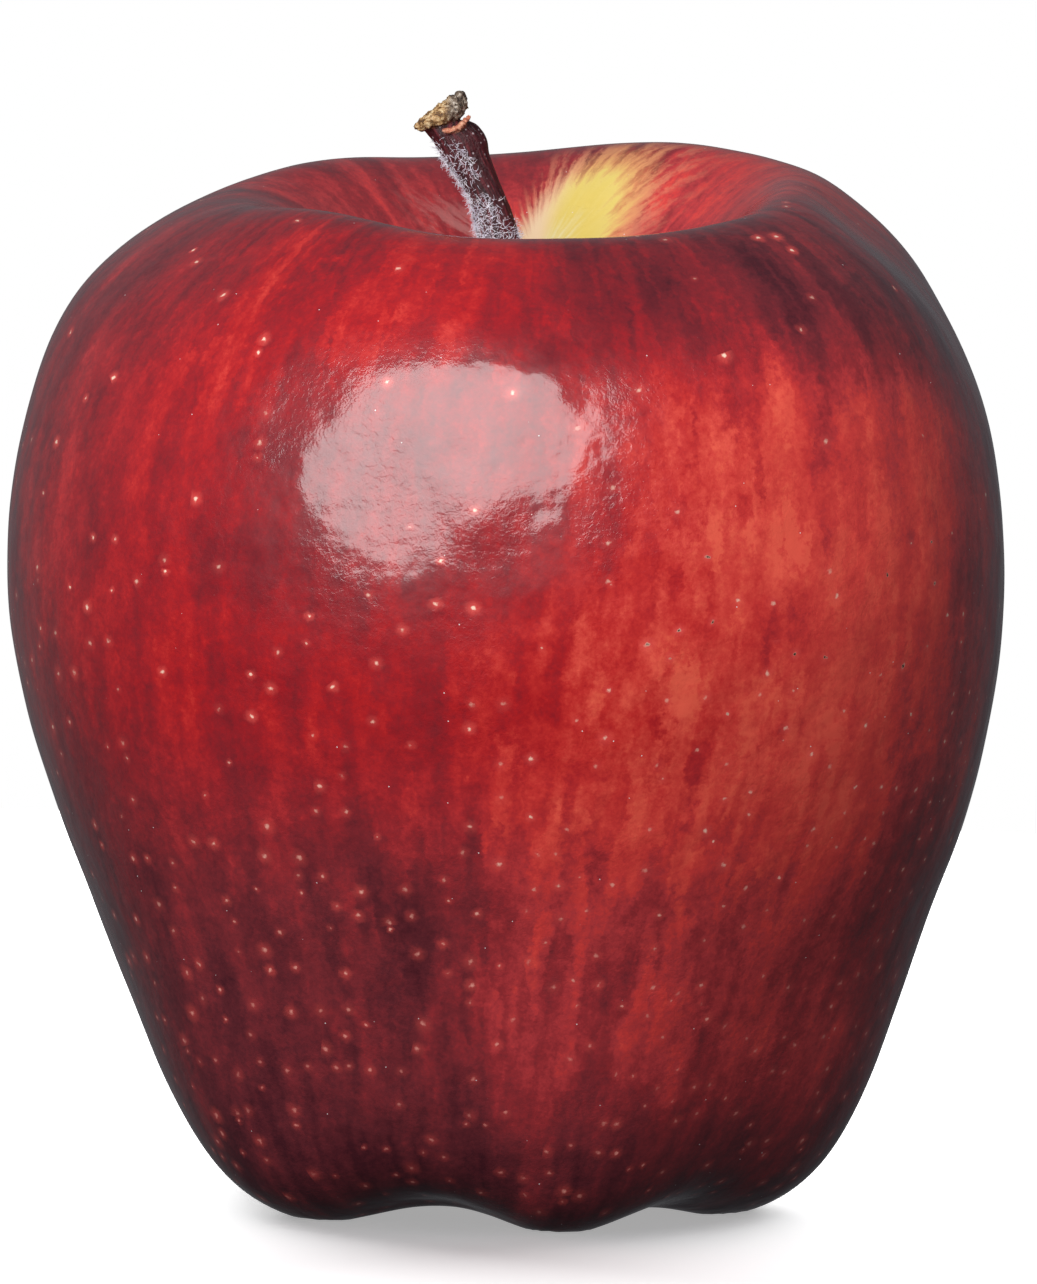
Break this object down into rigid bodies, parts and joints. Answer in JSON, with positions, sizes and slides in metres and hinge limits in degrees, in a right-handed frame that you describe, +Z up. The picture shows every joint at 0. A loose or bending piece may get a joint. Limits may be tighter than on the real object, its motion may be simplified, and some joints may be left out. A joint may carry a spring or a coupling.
{
  "type": "red apple",
  "caption": "Whole red apple of the tall five-footed kind, standing on its feet, with a bent woody stem in its cavity and dried sepals in its base.",
  "frame": {"origin": "under the middle of the apple's box, on the surface that its feet rest on", "axes": "+Z up along the core from the feet to the stem, -Y the front, +X to the right seen from the front"},
  "size_m": [0.0796, 0.0733, 0.0895],
  "materials": {
    "skin": "waxy and polished, deep red with lengthwise streaks and pale dots",
    "stem_bark": "dark rough bark with fine pale hairs, tan where it is broken",
    "dried_sepal": "dry, wrinkled and matt",
    "withered_stamen": "dry and matt"
  },
  "bodies": {
    "root": {"fruit": "skin", "stem": "stem_bark", "sepal_1": "dried_sepal", "sepal_2": "dried_sepal", "sepal_3": "dried_sepal", "sepal_4": "dried_sepal", "sepal_5": "dried_sepal", "stamens": "withered_stamen"}
  },
  "joints": []
}
